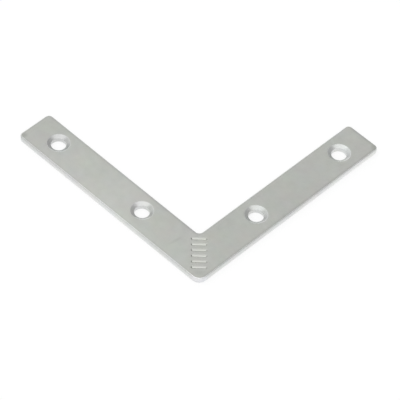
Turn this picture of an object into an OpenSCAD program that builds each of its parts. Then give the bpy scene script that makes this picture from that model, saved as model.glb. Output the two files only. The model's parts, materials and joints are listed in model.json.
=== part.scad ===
// Flat corner brace: an L-shaped plate blanked from steel sheet, with two equal arms
// and countersunk screw holes. It lies on its back face, with the countersinks up.
// Origin: where the centre lines of the arms cross, on the back face.
// Axes: +X and +Y run along the arms, +Z points out of the countersunk face.

/* [Plate] */
// Length of each arm, from the outer corner to the arm's end
arm_length = 75; // [60:0.5:150]
// Width of each arm
arm_width = 12.3; // [11:0.1:20]
// Thickness of the sheet
thickness = 2; // [1.6:0.1:4]

/* [Corners] */
// Radius of the outer corner, where the arms meet
outer_corner_radius = 2.8; // [1:0.1:6]
// Radius of the fillet in the inside corner
inside_corner_radius = 1.5; // [0.6:0.1:8]
// Radius of the two corners at each arm's end
end_corner_radius = 1.4; // [0.8:0.1:4]

/* [Blanked edge] */
// Radius that the blanking die rolls onto the edge of the upper face
roll_radius = 0.3; // [0.1:0.05:0.7]
// Height of the torn part of the edge, measured from the back face
torn_height = 0.7; // [0.2:0.05:0.8]
// How far the torn part leans in at the back face
torn_lean = 0.1; // [0.02:0.01:0.3]

/* [Screw holes] */
// Distance from an arm's end to the centre of its outer hole
end_hole_distance = 10.2; // [6:0.1:25]
// Distance from the outer corner to the centre of an arm's inner hole
corner_hole_distance = 29.8; // [20:0.1:45]
// Distance from an arm's outer edge to the centres of its holes
edge_hole_distance = 6.5; // [5:0.1:7.5]
// Diameter of the screw holes
hole_diameter = 4.6; // [3:0.1:5.5]
// Diameter of the countersinks at the upper face
sink_diameter = 6.8; // [6:0.1:7.4]
// Full angle of the countersinks
sink_angle = 120; // [90:1:130]

/* [Pressed bars] */
// Number of short bars pressed into the upper face across the corner
bar_count = 6; // [1:1:6]
// Length of a bar
bar_length = 4.7; // [2:0.1:6]
// Width of a bar
bar_width = 1.1; // [0.3:0.05:1.2]
// Distance from one bar to the next
bar_pitch = 2.1; // [1.4:0.1:2.3]
// Depth of a bar
bar_depth = 0.35; // [0.05:0.01:0.4]
// Distance from the crossing of the arms to the middle of the row, towards the inside corner
bar_shift = 1.8; // [0:0.1:2]

/* [Hidden] */
$fn = 96;
// How far a cutting shape stands clear of the face that it cuts
clear = 1;
// Place of both outer edges, of both arm ends and of both inner edges
outer_edge = -arm_width / 2;
arm_end = outer_edge + arm_length;
inner_edge = outer_edge + arm_width;
// Places of the holes along and across an arm
hole_places = [outer_edge + corner_hole_distance, arm_end - end_hole_distance];
hole_line = outer_edge + edge_hole_distance;
sink_slope = tan(sink_angle / 2);
sink_depth = (sink_diameter - hole_diameter) / 2 / sink_slope;
steel = [0.73, 0.74, 0.71];

// What is shaped once on the arm along X is repeated on the arm along Y
module both_arms() {
    children();
    mirror([1, -1, 0]) children();
}

// What a rounded corner leaves out of a sharp one at the origin
module corner_waste(radius) {
    difference() {
        translate([-clear, -clear]) square(radius + clear);
        translate([radius, radius]) circle(r = radius);
    }
}

// The arm along X, from the outer corner to its rounded end
module arm_outline() {
    difference() {
        translate([outer_edge, outer_edge]) square([arm_length, arm_width]);
        translate([arm_end, outer_edge]) mirror([1, 0]) corner_waste(end_corner_radius);
        translate([arm_end, inner_edge]) mirror([1, 0]) mirror([0, 1]) corner_waste(end_corner_radius);
    }
}

// The whole outline, with the fillet added in the inside corner
module outline() {
    difference() {
        union() {
            both_arms() arm_outline();
            translate([inner_edge - clear, inner_edge - clear])
                square(inside_corner_radius + clear);
        }
        translate([outer_edge, outer_edge]) corner_waste(outer_corner_radius);
        translate([inner_edge + inside_corner_radius, inner_edge + inside_corner_radius])
            circle(r = inside_corner_radius);
    }
}

// Section of what is missing along the edge: x runs into the plate, y is the height.
// The upper corner is rolled round, and the lower part is torn and leans in.
module edge_section(reach) {
    difference() {
        translate([-reach, thickness - roll_radius]) square([reach + roll_radius, roll_radius + clear]);
        translate([roll_radius, thickness - roll_radius]) circle(r = roll_radius);
    }
    polygon([[0, torn_height], [torn_lean, 0], [torn_lean, -clear], [-reach, -clear], [-reach, torn_height]]);
}

// A straight run of that edge along X, with the plate on its +Y side
module edge_run(length) {
    rotate([90, 0, 90]) linear_extrude(height = length) edge_section(clear);
}

// The edge round a corner that stands out, centred on the origin, towards -X and -Y
module edge_round_corner(radius) {
    rotate([0, 0, 180]) rotate_extrude(angle = 90)
        translate([radius, 0]) mirror([1, 0]) edge_section(clear);
}

// The edge round the fillet in the inside corner, centred and turned alike
module edge_round_fillet(radius) {
    rotate([0, 0, 180]) rotate_extrude(angle = 90)
        translate([radius, 0]) edge_section(radius / 2);
}

// All that the blanked edge takes off the arm along X
module arm_edges() {
    outer_run = arm_length - outer_corner_radius - end_corner_radius;
    inner_run = arm_length - arm_width - inside_corner_radius - end_corner_radius;
    end_run = arm_width - 2 * end_corner_radius;
    translate([outer_edge + outer_corner_radius, outer_edge, 0]) edge_run(outer_run);
    translate([arm_end - end_corner_radius, inner_edge, 0]) rotate([0, 0, 180]) edge_run(inner_run);
    translate([arm_end, outer_edge + end_corner_radius, 0]) rotate([0, 0, 90]) edge_run(end_run);
    translate([arm_end - end_corner_radius, outer_edge + end_corner_radius, 0])
        rotate([0, 0, 90]) edge_round_corner(end_corner_radius);
    translate([arm_end - end_corner_radius, inner_edge - end_corner_radius, 0])
        rotate([0, 0, 180]) edge_round_corner(end_corner_radius);
}

// A hole through the plate, with its countersink open at the upper face
module screw_hole() {
    translate([0, 0, -clear]) cylinder(d = hole_diameter, h = thickness + 2 * clear);
    translate([0, 0, thickness - sink_depth])
        cylinder(
            d1 = hole_diameter,
            d2 = sink_diameter + 2 * clear * sink_slope,
            h = sink_depth + clear
        );
}

// A short round-ended bar along X
module pressed_bar() {
    straight = bar_length - bar_width;
    translate([0, 0, thickness - bar_depth]) linear_extrude(height = bar_depth + clear) {
        translate([-straight / 2, -bar_width / 2]) square([straight, bar_width]);
        for (side = [-1, 1]) translate([side * straight / 2, 0]) circle(d = bar_width);
    }
}

// The row of bars across the corner, spaced along the line that halves it
module pressed_bars() {
    first = bar_shift - bar_pitch * (bar_count - 1) / 2;
    rotate([0, 0, -45])
        for (i = [0 : bar_count - 1]) translate([0, first + i * bar_pitch, 0]) pressed_bar();
}

module corner_plate() {
    color(steel) difference() {
        linear_extrude(height = thickness) outline();
        both_arms() {
            arm_edges();
            for (place = hole_places) translate([place, hole_line, 0]) screw_hole();
        }
        translate([outer_edge + outer_corner_radius, outer_edge + outer_corner_radius, 0])
            edge_round_corner(outer_corner_radius);
        translate([inner_edge + inside_corner_radius, inner_edge + inside_corner_radius, 0])
            edge_round_fillet(inside_corner_radius);
        pressed_bars();
    }
}

corner_plate();
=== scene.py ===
"""Flat corner brace: a finely meshed plate with its plated finish, on a plain studio floor."""

import json
import math

import bmesh
import bpy
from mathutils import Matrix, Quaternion, Vector
from mathutils.geometry import delaunay_2d_cdt


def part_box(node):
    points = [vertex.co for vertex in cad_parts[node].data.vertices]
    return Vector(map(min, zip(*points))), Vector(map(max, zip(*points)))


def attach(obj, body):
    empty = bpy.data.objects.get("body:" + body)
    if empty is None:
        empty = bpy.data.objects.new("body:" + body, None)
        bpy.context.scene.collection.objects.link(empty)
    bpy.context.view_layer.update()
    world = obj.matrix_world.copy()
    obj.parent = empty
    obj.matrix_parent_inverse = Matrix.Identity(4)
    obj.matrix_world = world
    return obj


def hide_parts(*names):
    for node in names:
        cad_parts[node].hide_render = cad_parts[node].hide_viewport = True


bl_info = {
    "name": "Flat Corner Brace",
    "version": (1, 0, 0),
    "blender": (4, 5, 0),
    "location": "3D View > Sidebar > Brace",
    "description": "Builds a zinc-plated flat corner brace on a studio floor",
    "category": "Object",
}

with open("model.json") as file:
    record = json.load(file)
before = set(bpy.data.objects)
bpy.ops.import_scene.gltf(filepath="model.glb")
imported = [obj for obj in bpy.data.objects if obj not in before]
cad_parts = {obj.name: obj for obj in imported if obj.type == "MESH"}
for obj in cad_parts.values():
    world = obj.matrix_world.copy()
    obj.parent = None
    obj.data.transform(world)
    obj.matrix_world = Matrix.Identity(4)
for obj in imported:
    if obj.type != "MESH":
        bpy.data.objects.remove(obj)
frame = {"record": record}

NODE = "corner_plate"
# The plate's material slots
FACE, EDGE, HOLE = range(3)
LOW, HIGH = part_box(NODE)
SCREW_HOLES = [mount for mount in frame["record"]["mounts"] if mount["kind"] == "bore"]
HOLE_RADIUS = SCREW_HOLES[0]["dims"]["r_mm"] / 1000
LAND_HEIGHT = SCREW_HOLES[0]["dims"]["length_mm"] / 1000
# Mesh steps round the outer corner, an end corner, the fillet, a screw hole and the floor
OUTER_STEPS = 14
END_STEPS = 10
FILLET_STEPS = 12
HOLE_STEPS = 72
FLOOR_STEPS = 96
# Mesh steps round each rounded edge of a section, and across the strip that sags
ROUND_STEPS = 6
SAG_STEPS = 5
# How far the face's plain mesh points keep from its edges, in spacings
LATTICE_MARGIN = 0.6
# Points of a face that are closer than this count as one
SAME_POINT = 1e-8
# Edges that bend more than this are shaded sharp
SHARP_BEND = math.radians(35)
# Height over which a hole's tint changes from its wall to its countersink
LAND_FADE = 0.00015
# How far from its tip the outer corner's edge has its full painted highlight, and where that highlight
# ends
CORNER_HIGHLIGHT_REACH = (0.0014, 0.0036)
# Dark marks on the face, each as its middle, its turn in degrees, its reach along and across, and
# how much it darkens: a faint scuff beside the bars, grime near the outer corner's tip, and a
# darker spot at one corner of each arm's end
MARKS = (
    ((-0.0003, 0.0091), -8.0, (0.0034, 0.0008), 0.09),
    ((LOW.x + 0.0023, LOW.y + 0.0023), -45.0, (0.0034, 0.0016), 0.10),
    ((LOW.x + 0.0012, HIGH.y - 0.0012), 0.0, (0.0014, 0.0014), 0.20),
    ((HIGH.x - 0.0011, LOW.y + 0.0010), 0.0, (0.0014, 0.0014), 0.14),
)
# How far up and down a mark reaches, which is more than the sheet's thickness
MARK_HEIGHT = 0.01
# How fine the plating's tone varies, as a noise scale: slow drift, patches, mottle and hue
DRIFT_SCALE = 10.0
PATCH_SCALE = 70.0
MOTTLE_SCALE = 420.0
HUE_SCALE = 220.0
# Picks one pattern of varying tone among many
PATTERN = 340.2
# The plating's grain: its noise, its bumps, and how far it moves the roughness up and down
GRAIN = {"Scale": 2500.0, "Detail": 3.0, "Roughness": 0.6}
GRAIN_BUMPS = {"Strength": 0.25, "Distance": 0.00002}
GRAIN_GLOSS = 0.06
# How far the camera sees
FAR = 20.0
# Each lamp's azimuth and elevation in degrees, its distance and the side of its square
LAMPS = {
    "top_lamp": (-52, 64, 0.9, 1.45),
    "back_lamp": (169, 51, 0.8, 0.9),
    "rim_lamp": (136, 10, 0.8, 0.5),
}


def length(name, description, default):
    """A size in metres that a user may change."""
    return bpy.props.FloatProperty(
        name=name, description=description, default=default, min=0.0, unit="LENGTH", precision=5
    )


def share(name, description, default):
    """A plain number from 0 to 1 that a user may change."""
    return bpy.props.FloatProperty(
        name=name, description=description, default=default, min=0.0, max=1.0, subtype="FACTOR"
    )


def colour(name, description, default):
    """A colour that a user may change."""
    return bpy.props.FloatVectorProperty(
        name=name, description=description, default=default, size=3, min=0.0, max=1.0, subtype="COLOR"
    )


def angle(name, description, default):
    """An angle, given here in degrees, that a user may change."""
    return bpy.props.FloatProperty(
        name=name, description=description, default=math.radians(default), subtype="ANGLE"
    )


class BracePlateSizes(bpy.types.PropertyGroup):
    """Sizes of the plate that the frame doesn't give."""

    outer_corner_radius: length("Outer corner", "Radius where the arms meet", 0.0028)
    inside_corner_radius: length("Inside corner", "Radius of the fillet between the arms", 0.0015)
    end_corner_radius: length("End corners", "Radius of the corners at the arm ends", 0.0014)
    roll_radius: length("Rolled edge", "Radius that the die rolls onto the upper edge", 0.0003)
    sag_width: length("Edge sag", "Width of the strip that sags towards the blanked edge", 0.0012)
    sag_depth: length("Edge sag depth", "How far the face sags at its edge", 0.00003)
    torn_height: length("Torn edge", "Height of the torn part of the edge", 0.0007)
    torn_lean: length("Torn lean", "How far the torn part leans in at the back", 0.0001)
    back_round: length("Back edge", "Rounding where an edge or a hole meets the back", 0.00005)
    rim_round: length("Countersink rim", "Rounding of the countersink's rim", 0.0004)
    land_round: length("Countersink foot", "Rounding between a countersink and its hole", 0.00012)
    sink_radius: length("Countersink", "Radius of the countersinks at the face", 0.0034)
    bar_count: bpy.props.IntProperty(
        name="Pressed bars", description="Number of bars across the corner", default=6, min=1
    )
    bar_length: length("Bar length", "Length of a pressed bar", 0.0047)
    bar_width: length("Bar width", "Width of a pressed bar", 0.0011)
    bar_pitch: length("Bar pitch", "Distance from one bar to the next", 0.0021)
    bar_depth: length("Bar depth", "Depth of a pressed bar", 0.00035)
    bar_fade: length("Bar ends", "Length over which a pressed bar rises at each end", 0.00035)
    bar_shift: length("Bar shift", "Distance from the arms' crossing to the middle of the row", 0.0018)
    face_step: length("Face mesh", "Spacing of the mesh points on the upper face", 0.0006)
    bar_step: length("Bar mesh", "Spacing of the mesh points in the pressed bars", 0.00012)


class BraceFinish(bpy.types.PropertyGroup):
    """Colours and gloss of the plated steel."""

    zinc: colour("Zinc", "Colour of the plating on the face", (0.504, 0.516, 0.486))
    cut: colour("Cut edge", "Colour of the smooth upper part of the edge", (0.680, 0.690, 0.680))
    # The torn part's lighter tint is partly its rougher finish and partly painted light from the white
    # floor
    torn: colour("Torn edge", "Colour of the torn lower part of the edge", (0.790, 0.795, 0.790))
    # Painted highlight on the edge round the outer corner
    corner_highlight: colour("Painted corner highlight", "Colour of the edge round the outer corner", (0.790, 0.800, 0.810))
    sink: colour("Countersink", "Colour of the countersinks", (0.590, 0.602, 0.588))
    bore: colour("Hole wall", "Colour of the upright wall of a hole", (0.660, 0.670, 0.660))
    gloss: share("Face roughness", "Roughness of the plating on the face", 0.36)
    edge_gloss: share("Edge roughness", "Roughness of the plating on the edge", 0.42)
    sink_gloss: share("Countersink roughness", "Roughness of the plating in the countersinks", 0.36)
    drift: share("Drift", "How much the plating's tone drifts over the whole plate", 0.41)
    cloud: share("Cloudiness", "How much the plating's tone varies from patch to patch", 0.06)
    mottle: share("Mottle", "How much the plating's tone varies within a patch", 0.07)
    hue: share("Hue", "How much the plating's colour varies", 0.04)
    # Painted shade: how much darker the face is where it dips, along its edges and in the bars
    rim: share("Rims", "How much darker the face is at its edge and at the bars' rims", 0.12)
    # Painted highlight: the bars' floors are lighter than their rims
    pressed: share("Pressed bars", "How much lighter the bars' floors are than their rims", 0.30)


class BraceStage(bpy.types.PropertyGroup):
    """The camera, the lamps and the floor."""

    azimuth: angle("Azimuth", "Where the camera stands, round the object", -48.65)
    elevation: angle("Elevation", "How high the camera stands", 49.56)
    roll: angle("Roll", "How far the camera leans", 4.765)
    aim: bpy.props.FloatVectorProperty(
        name="Aim",
        description="Point that the camera looks at",
        default=(0.016750, 0.016270, 0.0),
        subtype="XYZ_LENGTH",
        unit="LENGTH",
    )
    distance: length("Distance", "From the camera to the aim point", 0.8924)
    lens: bpy.props.FloatProperty(
        name="Lens", description="Focal length of the camera", default=276.8, unit="CAMERA"
    )
    sensor: bpy.props.FloatProperty(
        name="Sensor", description="Width of the camera's sensor", default=36.0, unit="CAMERA"
    )
    world_level: share("World", "Brightness of the light from all around", 0.54)
    top_level: share("Top lamp", "Brightness of the lamp overhead", 0.76)
    back_level: share("Back lamp", "Brightness of the lamp behind, on the left", 0.50)
    rim_level: share("Rim lamp", "Brightness of the low lamp behind", 0.80)
    floor_tone: share("Floor", "How light the floor is", 0.28)
    floor_lift: share("Floor lift", "Light that makes the floor white where it is seen", 0.74)
    floor_radius: length("Floor radius", "Radius of the round floor", 6.0)


def arc(centre, radius, start, end, steps):
    """Points of an arc as (point, outward normal); a negative radius curves in, as a fillet does."""
    run = []
    for i in range(steps + 1):
        turn = math.radians(start + (end - start) * i / steps)
        ray = Vector((math.cos(turn), math.sin(turn)))
        run.append((centre + ray * abs(radius), ray * math.copysign(1.0, radius)))
    return run


def plate_outline(sizes):
    """The outline, anticlockwise from the outer corner, as (point, outward normal) pairs."""
    outer, end, inner = LOW.x, HIGH.x, -LOW.x
    near, far = outer + sizes.end_corner_radius, end - sizes.end_corner_radius
    side = inner - sizes.end_corner_radius
    bend = inner + sizes.inside_corner_radius
    start = outer + sizes.outer_corner_radius
    turns = [
        arc(Vector((start, start)), sizes.outer_corner_radius, 180, 270, OUTER_STEPS),
        arc(Vector((far, near)), sizes.end_corner_radius, -90, 0, END_STEPS),
        arc(Vector((far, side)), sizes.end_corner_radius, 0, 90, END_STEPS),
        arc(Vector((bend, bend)), -sizes.inside_corner_radius, 270, 180, FILLET_STEPS),
        arc(Vector((side, far)), sizes.end_corner_radius, 0, 90, END_STEPS),
        arc(Vector((near, far)), sizes.end_corner_radius, 90, 180, END_STEPS),
    ]
    outline = []
    for turn, following in zip(turns, turns[1:] + turns[:1]):
        outline += turn
        here, there = turn[-1][0], following[0][0]
        parts = max(2, round((there - here).length / sizes.face_step))
        outline += [(here.lerp(there, i / parts), turn[-1][1]) for i in range(1, parts)]
    return outline


def rounded(corners, radii):
    """A line through corners, where each corner between the first and the last gets its radius."""
    line = [corners[0]]
    for before, corner, after, radius in zip(corners, corners[1:], corners[2:], radii):
        back, onward = (before - corner).normalized(), (after - corner).normalized()
        half = back.angle(onward) / 2
        middle = (back + onward).normalized() * (radius / math.sin(half))
        start, end = (ray * (radius / math.tan(half)) - middle for ray in (back, onward))
        for i in range(ROUND_STEPS + 1):
            line.append(corner + middle + start.slerp(end, i / ROUND_STEPS).normalized() * radius)
    return line + [corners[-1]]


def edge_profile(sizes):
    """The blanked edge from the back face up to its roll, as (distance in from the edge, height)."""
    top = HIGH.z - sizes.sag_depth
    corners = [
        Vector((sizes.torn_lean + 2 * sizes.back_round, 0.0)),
        Vector((sizes.torn_lean, 0.0)),
        Vector((0.0, sizes.torn_height)),
        Vector((0.0, top)),
        Vector((2 * sizes.roll_radius, top)),
    ]
    return rounded(corners, (sizes.back_round, sizes.back_round, sizes.roll_radius))[1:-1]


def sag_profile(sizes):
    """The strip of the face that sags towards the edge, as (distance in from the edge, height)."""
    profile = []
    for i in range(SAG_STEPS + 1):
        flat = i / SAG_STEPS
        inset = sizes.roll_radius + (sizes.sag_width - sizes.roll_radius) * flat
        profile.append((inset, HIGH.z - sizes.sag_depth * (1 - flat) ** 2))
    return profile


def hole_profile(sizes):
    """A screw hole from the upper face down, as (radius, height)."""
    corners = [
        Vector((sizes.sink_radius + sizes.rim_round, HIGH.z)),
        Vector((sizes.sink_radius, HIGH.z)),
        Vector((HOLE_RADIUS, LAND_HEIGHT)),
        Vector((HOLE_RADIUS, 0.0)),
        Vector((HOLE_RADIUS + 2 * sizes.back_round, 0.0)),
    ]
    return rounded(corners, (sizes.rim_round, sizes.land_round, sizes.back_round))[1:-1]


def bar_place(point, sizes):
    """Where a point lies in the row of bars: how far along the row and how far off its middle line."""
    along = (point.x + point.y) / math.sqrt(2) - sizes.bar_shift
    across = abs(point.y - point.x) / math.sqrt(2)
    return along, across


def bar_patch(sizes):
    """Half the length and half the width of the patch that the row of bars takes up."""
    return sizes.bar_pitch * sizes.bar_count / 2, (sizes.bar_length + sizes.bar_width) / 2


def in_bars(point, sizes):
    """Whether a point lies in the patch that the row of bars takes up."""
    along, across = bar_place(point, sizes)
    half_length, half_width = bar_patch(sizes)
    return abs(along) < half_length and across < half_width


def pressed_depth(point, sizes):
    """How deep the pressed bars are at a point of the upper face."""
    along, across = bar_place(point, sizes)
    middle = (sizes.bar_count - 1) / 2
    nearest = min(max(round(along / sizes.bar_pitch + middle), 0), sizes.bar_count - 1)
    off_line = along - (nearest - middle) * sizes.bar_pitch
    past_end = max(0.0, across - (sizes.bar_length / 2 - sizes.bar_fade))
    off = math.hypot(off_line / (sizes.bar_width / 2), past_end / sizes.bar_fade)
    if off >= 1.0:
        return 0.0
    return sizes.bar_depth * (0.5 + 0.5 * math.cos(math.pi * off))


def corner_depth(first, second, radius):
    """Depth inside a rounded corner, from the distances to its two edges."""
    if first < radius and second < radius:
        return radius - math.hypot(radius - first, radius - second)
    return min(first, second)


def depth_inside(point, sizes):
    """How far a point of the face lies inside the outline."""
    along, side = max(point), min(point)
    outer, end, inner = LOW.x, HIGH.x, -LOW.x
    bend = inner + sizes.inside_corner_radius
    if along < bend:
        inner_depth = math.hypot(bend - along, bend - side) - sizes.inside_corner_radius
    else:
        inner_depth = corner_depth(end - along, inner - side, sizes.end_corner_radius)
    return min(
        inner_depth,
        corner_depth(along - outer, side - outer, sizes.outer_corner_radius),
        corner_depth(end - along, side - outer, sizes.end_corner_radius),
    )


def hole_centres():
    """The axes of the screw holes, seen from above."""
    return [Vector(mount["pos_m"][:2]) for mount in SCREW_HOLES]


def on_face(point, margin, rim_radius, sizes):
    """Whether a point lies on the flat of the face, clear of its edge and of the holes by a margin."""
    if depth_inside(point, sizes) < sizes.sag_width + margin:
        return False
    return all((point - centre).length > rim_radius + margin for centre in hole_centres())


def face_points(sizes, rim_radius):
    """Mesh points of the upper face: a plain lattice, and a finer one in the pressed bars."""
    points = []
    step = sizes.face_step
    rows = int((HIGH.x - LOW.x) / step)
    for i in range(rows):
        for j in range(rows):
            point = Vector((LOW.x + step * (j + i % 2 / 2), LOW.y + step * i))
            if min(point) > -LOW.x or in_bars(point, sizes):
                continue
            if on_face(point, step * LATTICE_MARGIN, rim_radius, sizes):
                points.append(point)
    step = sizes.bar_step
    rows, columns = (int(half / step) for half in bar_patch(sizes))
    for i in range(-rows, rows + 1):
        for j in range(-columns, columns + 1):
            along, across = sizes.bar_shift + i * step, j * step
            point = Vector((along - across, along + across)) / math.sqrt(2)
            if in_bars(point, sizes) and on_face(point, step, rim_radius, sizes):
                points.append(point)
    return points


def loop_edges(start, count):
    """The edges of a closed loop of points."""
    return [(start + i, start + (i + 1) % count) for i in range(count)]


def bridge(mesh, first, second, material):
    """Fills the strip between two closed loops of vertices."""
    for i in range(len(first)):
        j = (i + 1) % len(first)
        face = mesh.faces.new((first[i], first[j], second[j], second[i]))
        face.material_index = material
        face.smooth = True


def fill_face(mesh, outline, rims, extra, height, up):
    """Fills a face between the outline and the hole rims, which stay open, through extra points."""
    loops = [outline] + rims
    known = [v for loop in loops for v in loop]
    points = [Vector(v.co.xy) for v in known] + extra
    edges, start = [], 0
    for loop in loops:
        edges += loop_edges(start, len(loop))
        start += len(loop)
    coords, _, triangles, origins, _, _ = delaunay_2d_cdt(points, edges, [], 1, SAME_POINT)
    verts = []
    for coord, origin in zip(coords, origins):
        if origin and origin[0] < len(known):
            verts.append(known[origin[0]])
        else:
            verts.append(mesh.verts.new((coord.x, coord.y, height(coord))))
    for triangle in triangles:
        corners = [verts[i] for i in triangle]
        if any(set(corners) <= set(rim) for rim in rims):
            continue
        face = mesh.faces.new(corners if up else reversed(corners))
        face.smooth = True


def build_plate(sizes):
    """The whole plate as one closed mesh."""
    mesh = bmesh.new()
    outline = plate_outline(sizes)
    edge, sag = edge_profile(sizes), sag_profile(sizes)[1:]
    rings = []
    for inset, height in edge + sag:
        rings.append([mesh.verts.new((*(point - normal * inset), height)) for point, normal in outline])
    for i, (lower, upper) in enumerate(zip(rings, rings[1:]), 1):
        bridge(mesh, lower, upper, EDGE if i < len(edge) else FACE)
    profile = hole_profile(sizes)
    tops, backs = [], []
    for centre in hole_centres():
        circle = arc(Vector((0.0, 0.0)), 1.0, 0, 360, HOLE_STEPS)[:-1]
        walls = []
        for radius, height in profile:
            walls.append([mesh.verts.new((*(centre + ray * radius), height)) for _, ray in circle])
        for upper, lower in zip(walls, walls[1:]):
            bridge(mesh, upper, lower, HOLE)
        tops.append(walls[0])
        backs.append(walls[-1])
    points = face_points(sizes, profile[0][0])
    fill_face(mesh, rings[-1], tops, points, lambda point: HIGH.z - pressed_depth(point, sizes), True)
    fill_face(mesh, rings[0], backs, [], lambda point: 0.0, False)
    data = bpy.data.meshes.new("plate_skin")
    mesh.to_mesh(data)
    mesh.free()
    data.set_sharp_from_angle(angle=SHARP_BEND)
    return data


def add_node(tree, kind, **settings):
    """A shader node with its settings and the fixed values of its inputs."""
    made = tree.nodes.new(kind)
    for name, value in settings.items():
        if name in made.inputs:
            made.inputs[name].default_value = value
        else:
            setattr(made, name, value)
    return made


def feed(tree, source, socket):
    """Gives an input its source, which is another node's output or a fixed value."""
    if isinstance(source, bpy.types.NodeSocket):
        tree.links.new(source, socket)
    else:
        socket.default_value = source


def varying(tree, spot, scale, amount, output="Fac"):
    """A factor, or with output Color one for each colour, that varies round 1 by an amount."""
    noise = add_node(tree, "ShaderNodeTexNoise", noise_dimensions="4D", W=PATTERN, Scale=scale)
    tree.links.new(spot, noise.inputs["Vector"])
    factor = add_node(tree, "ShaderNodeVectorMath", operation="MULTIPLY_ADD")
    factor.inputs[1].default_value = (2 * amount,) * 3
    factor.inputs[2].default_value = (1 - amount,) * 3
    tree.links.new(noise.outputs[output], factor.inputs[0])
    return factor.outputs["Vector"]


def times(tree, first, *others):
    """The product of colours or values, part by part."""
    for other in others:
        both = add_node(tree, "ShaderNodeVectorMath", operation="MULTIPLY")
        feed(tree, first, both.inputs[0])
        feed(tree, other, both.inputs[1])
        first = both.outputs["Vector"]
    return first


def blend(tree, amount, first, second):
    """A mix of two tints, each a colour or another node's output."""
    # Among this node's sockets, inputs 4 and 5 and output 1 are the ones for vectors
    mix = add_node(tree, "ShaderNodeMix", data_type="VECTOR")
    tree.links.new(amount, mix.inputs[0])
    feed(tree, first, mix.inputs[4])
    feed(tree, second, mix.inputs[5])
    return mix.outputs[1]


def ramp(tree, value, from_min, from_max, to_min=0.0, to_max=1.0):
    """A soft step of a value."""
    step = add_node(tree, "ShaderNodeMapRange", interpolation_type="SMOOTHSTEP")
    step.inputs["From Min"].default_value = from_min
    step.inputs["From Max"].default_value = from_max
    step.inputs["To Min"].default_value = to_min
    step.inputs["To Max"].default_value = to_max
    tree.links.new(value, step.inputs["Value"])
    return step.outputs["Result"]


def height_of(tree, spot):
    """The height of a point."""
    split = add_node(tree, "ShaderNodeSeparateXYZ")
    tree.links.new(spot, split.inputs[0])
    return split.outputs["Z"]


def clouded(tree, spot, tint, finish):
    """A tint that drifts over the plate, and varies from patch to patch and within a patch."""
    drift = varying(tree, spot, DRIFT_SCALE, finish.drift)
    patch = varying(tree, spot, PATCH_SCALE, finish.cloud)
    mottle = varying(tree, spot, MOTTLE_SCALE, finish.mottle)
    hue = varying(tree, spot, HUE_SCALE, finish.hue, "Color")
    return times(tree, tint, drift, patch, mottle, hue)


def dark_mark(tree, spot, place, turn, reach, dark):
    """A factor of 1 that falls towards the middle of a long round mark on the face."""
    near = add_node(tree, "ShaderNodeMapping", vector_type="TEXTURE")
    near.inputs["Location"].default_value = (*place, HIGH.z)
    near.inputs["Rotation"].default_value = (0.0, 0.0, math.radians(turn))
    near.inputs["Scale"].default_value = (*reach, MARK_HEIGHT)
    tree.links.new(spot, near.inputs["Vector"])
    away = add_node(tree, "ShaderNodeVectorMath", operation="LENGTH")
    tree.links.new(near.outputs["Vector"], away.inputs[0])
    return ramp(tree, away.outputs["Value"], 0.0, 1.0, 1.0 - dark, 1.0)


def plated_metal(name, gloss, paint_from):
    """Satin zinc plating with a fine grain; paint_from(tree, spot) gives its colour."""
    material = bpy.data.materials.new(name)
    material.use_nodes = True
    tree = material.node_tree
    tree.nodes.clear()
    link = tree.links.new
    spot = add_node(tree, "ShaderNodeTexCoord").outputs["Object"]
    grain = add_node(tree, "ShaderNodeTexNoise", **GRAIN)
    link(spot, grain.inputs["Vector"])
    rough = add_node(tree, "ShaderNodeMapRange")
    rough.inputs["To Min"].default_value = gloss - GRAIN_GLOSS
    rough.inputs["To Max"].default_value = gloss + GRAIN_GLOSS
    link(grain.outputs["Fac"], rough.inputs["Value"])
    bump = add_node(tree, "ShaderNodeBump", **GRAIN_BUMPS)
    link(grain.outputs["Fac"], bump.inputs["Height"])
    metal = add_node(tree, "ShaderNodeBsdfPrincipled", Metallic=1.0)
    link(paint_from(tree, spot), metal.inputs["Base Color"])
    link(rough.outputs["Result"], metal.inputs["Roughness"])
    link(bump.outputs["Normal"], metal.inputs["Normal"])
    out = add_node(tree, "ShaderNodeOutputMaterial")
    link(metal.outputs["BSDF"], out.inputs["Surface"])
    return material


def face_paint(finish, sizes):
    """Clouded zinc with painted shade at its rims, a painted highlight in the bars and a few dark marks.
    """
    def paint(tree, spot):
        height = height_of(tree, spot)
        # Painted shade: darker where the face dips below its flat, along its edges and in the bars
        rim = ramp(tree, height, HIGH.z - sizes.sag_depth, HIGH.z, 1.0 - finish.rim, 1.0)
        # Painted highlight: lighter towards the bars' floors
        pressed = ramp(tree, height, HIGH.z - sizes.bar_depth, HIGH.z, 1.0 + finish.pressed, 1.0)
        marks = [dark_mark(tree, spot, *mark) for mark in MARKS]
        return clouded(tree, spot, times(tree, finish.zinc, rim, pressed, *marks), finish)
    return paint


def edge_paint(finish, sizes):
    """Blanked edge: lighter where torn, partly painted light; painted highlight round the outer corner.
    """
    tip = LOW.x + sizes.outer_corner_radius * (1 - math.sqrt(0.5))

    def paint(tree, spot):
        # Lighter where torn near the back: partly the torn zone's rougher finish, partly painted light
        # from the floor
        sheared = ramp(tree, height_of(tree, spot), 0.0, HIGH.z - sizes.roll_radius)
        tint = blend(tree, sheared, finish.torn, finish.cut)
        # Painted highlight on the edge round the outer corner's tip
        away = add_node(tree, "ShaderNodeVectorMath", operation="DISTANCE")
        tree.links.new(spot, away.inputs[0])
        away.inputs[1].default_value = (tip, tip, HIGH.z / 2)
        plain = ramp(tree, away.outputs["Value"], *CORNER_HIGHLIGHT_REACH)
        return clouded(tree, spot, blend(tree, plain, finish.corner_highlight, tint), finish)
    return paint


def hole_paint(finish):
    """The screw holes: the upright wall is brighter than the countersink above it."""
    def paint(tree, spot):
        sunk = ramp(tree, height_of(tree, spot), LAND_HEIGHT, LAND_HEIGHT + LAND_FADE)
        return clouded(tree, spot, blend(tree, sunk, finish.bore, finish.sink), finish)
    return paint


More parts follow.
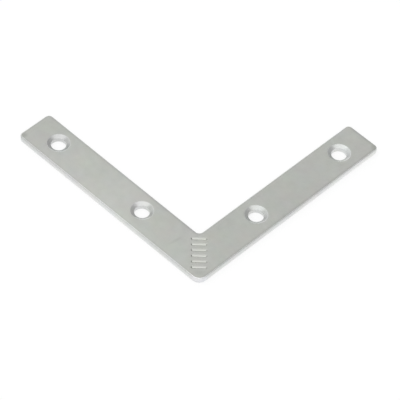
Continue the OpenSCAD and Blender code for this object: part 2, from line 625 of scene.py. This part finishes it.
def floor_finish(stage):
    """White floor: where it is seen or mirrored it is lifted to white, and it still takes the shadow."""
    material = bpy.data.materials.new("studio_floor")
    material.use_nodes = True
    tree = material.node_tree
    tree.nodes.clear()
    link = tree.links.new
    tone = stage.floor_tone
    matt = add_node(tree, "ShaderNodeBsdfDiffuse", Color=(tone, tone, tone, 1.0))
    path = add_node(tree, "ShaderNodeLightPath")
    seen = add_node(tree, "ShaderNodeMath", operation="ADD", use_clamp=True)
    link(path.outputs["Is Camera Ray"], seen.inputs[0])
    link(path.outputs["Is Glossy Ray"], seen.inputs[1])
    lift = add_node(tree, "ShaderNodeMath", operation="ADD", use_clamp=True)
    link(seen.outputs[0], lift.inputs[0])
    link(path.outputs["Is Transmission Ray"], lift.inputs[1])
    level = add_node(tree, "ShaderNodeMath", operation="MULTIPLY")
    level.inputs[1].default_value = stage.floor_lift
    link(lift.outputs[0], level.inputs[0])
    glow = add_node(tree, "ShaderNodeEmission")
    link(level.outputs[0], glow.inputs["Strength"])
    both = add_node(tree, "ShaderNodeAddShader")
    link(matt.outputs["BSDF"], both.inputs[0])
    link(glow.outputs["Emission"], both.inputs[1])
    out = add_node(tree, "ShaderNodeOutputMaterial")
    link(both.outputs["Shader"], out.inputs["Surface"])
    return material


def facing(azimuth, elevation):
    """The direction from the object towards a place round it."""
    flat = math.cos(elevation)
    return Vector((math.sin(azimuth) * flat, -math.cos(azimuth) * flat, math.sin(elevation)))


def stand_back(name, data, aim, direction, distance, roll=0.0):
    """Stands a lamp or a camera at a distance from a point, and turns it to face that point."""
    holder = bpy.data.objects.new(name, data)
    holder.location = aim + direction * distance
    holder.rotation_mode = "QUATERNION"
    level = (-direction).to_track_quat("-Z", "Y")
    holder.rotation_quaternion = level @ Quaternion((0.0, 0.0, 1.0), roll)
    bpy.context.scene.collection.objects.link(holder)
    return holder


def soft_lamp(name, brightness):
    """A square lamp that faces the object; its brightness is what a mirror would show."""
    azimuth, elevation, distance, size = LAMPS[name]
    lamp = bpy.data.lights.new(name, "AREA")
    lamp.size = size
    lamp.energy = brightness * math.pi * size * size
    direction = facing(math.radians(azimuth), math.radians(elevation))
    stand_back(name, lamp, (LOW + HIGH) / 2, direction, distance)


def studio_floor(stage):
    """A large round floor that the plate lies on."""
    mesh = bmesh.new()
    bmesh.ops.create_circle(mesh, cap_ends=True, segments=FLOOR_STEPS, radius=stage.floor_radius)
    data = bpy.data.meshes.new("floor")
    mesh.to_mesh(data)
    mesh.free()
    data.materials.append(floor_finish(stage))
    floor = bpy.data.objects.new("floor", data)
    floor.location.z = LOW.z
    bpy.context.scene.collection.objects.link(floor)


def studio_world(stage):
    """An even white light from all around."""
    world = bpy.data.worlds.new("studio")
    world.use_nodes = True
    sky = world.node_tree.nodes["Background"]
    sky.inputs["Color"].default_value = (1.0, 1.0, 1.0, 1.0)
    sky.inputs["Strength"].default_value = stage.world_level
    bpy.context.scene.world = world


def studio_camera(stage):
    """The camera, which sees the plate as the photograph does."""
    camera = bpy.data.cameras.new("camera")
    camera.sensor_width = stage.sensor
    camera.lens = stage.lens
    camera.clip_end = FAR
    direction = facing(stage.azimuth, stage.elevation)
    aim = Vector(stage.aim)
    bpy.context.scene.camera = stand_back("camera", camera, aim, direction, stage.distance, stage.roll)


class BRACE_OT_plate(bpy.types.Operator):
    """Build the plate with its rolled edge, countersinks, pressed bars and plating"""

    bl_idname = "brace.plate"
    bl_label = "Corner plate"

    def execute(self, context):
        sizes, finish = context.scene.brace_sizes, context.scene.brace_finish
        data = build_plate(sizes)
        data.materials.append(plated_metal("plated_face", finish.gloss, face_paint(finish, sizes)))
        data.materials.append(plated_metal("plated_edge", finish.edge_gloss, edge_paint(finish, sizes)))
        data.materials.append(plated_metal("plated_sink", finish.sink_gloss, hole_paint(finish)))
        plate = bpy.data.objects.new("plate_skin", data)
        context.scene.collection.objects.link(plate)
        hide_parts(NODE)
        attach(plate, "root")
        return {"FINISHED"}


class BRACE_OT_stage(bpy.types.Operator):
    """Set the floor, the lamps, the world and the camera"""

    bl_idname = "brace.stage"
    bl_label = "Studio stage"

    def execute(self, context):
        stage = context.scene.brace_stage
        studio_floor(stage)
        studio_world(stage)
        context.scene.view_settings.view_transform = "Standard"
        soft_lamp("top_lamp", stage.top_level)
        soft_lamp("back_lamp", stage.back_level)
        soft_lamp("rim_lamp", stage.rim_level)
        studio_camera(stage)
        return {"FINISHED"}


class VIEW3D_PT_brace(bpy.types.Panel):
    """Lists the pieces of the brace and its stage"""

    bl_idname = "VIEW3D_PT_brace"
    bl_label = "Flat corner brace"
    bl_space_type = "VIEW_3D"
    bl_region_type = "UI"
    bl_category = "Brace"

    def draw(self, context):
        for operator in OPERATORS:
            self.layout.operator(operator.bl_idname)
        for name in GROUPS:
            box = self.layout.box()
            group = getattr(context.scene, name)
            for prop in group.__annotations__:
                box.prop(group, prop)


OPERATORS = (BRACE_OT_plate, BRACE_OT_stage)
GROUPS = {"brace_sizes": BracePlateSizes, "brace_finish": BraceFinish, "brace_stage": BraceStage}
CLASSES = (*GROUPS.values(), *OPERATORS, VIEW3D_PT_brace)


def register():
    for cls in CLASSES:
        bpy.utils.register_class(cls)
    for name, group in GROUPS.items():
        setattr(bpy.types.Scene, name, bpy.props.PointerProperty(type=group))


def unregister():
    for name in GROUPS:
        delattr(bpy.types.Scene, name)
    for cls in reversed(CLASSES):
        bpy.utils.unregister_class(cls)


def main():
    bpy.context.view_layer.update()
    register()
    bpy.ops.brace.plate()
    bpy.ops.brace.stage()


if __name__ == "__main__":
    main()
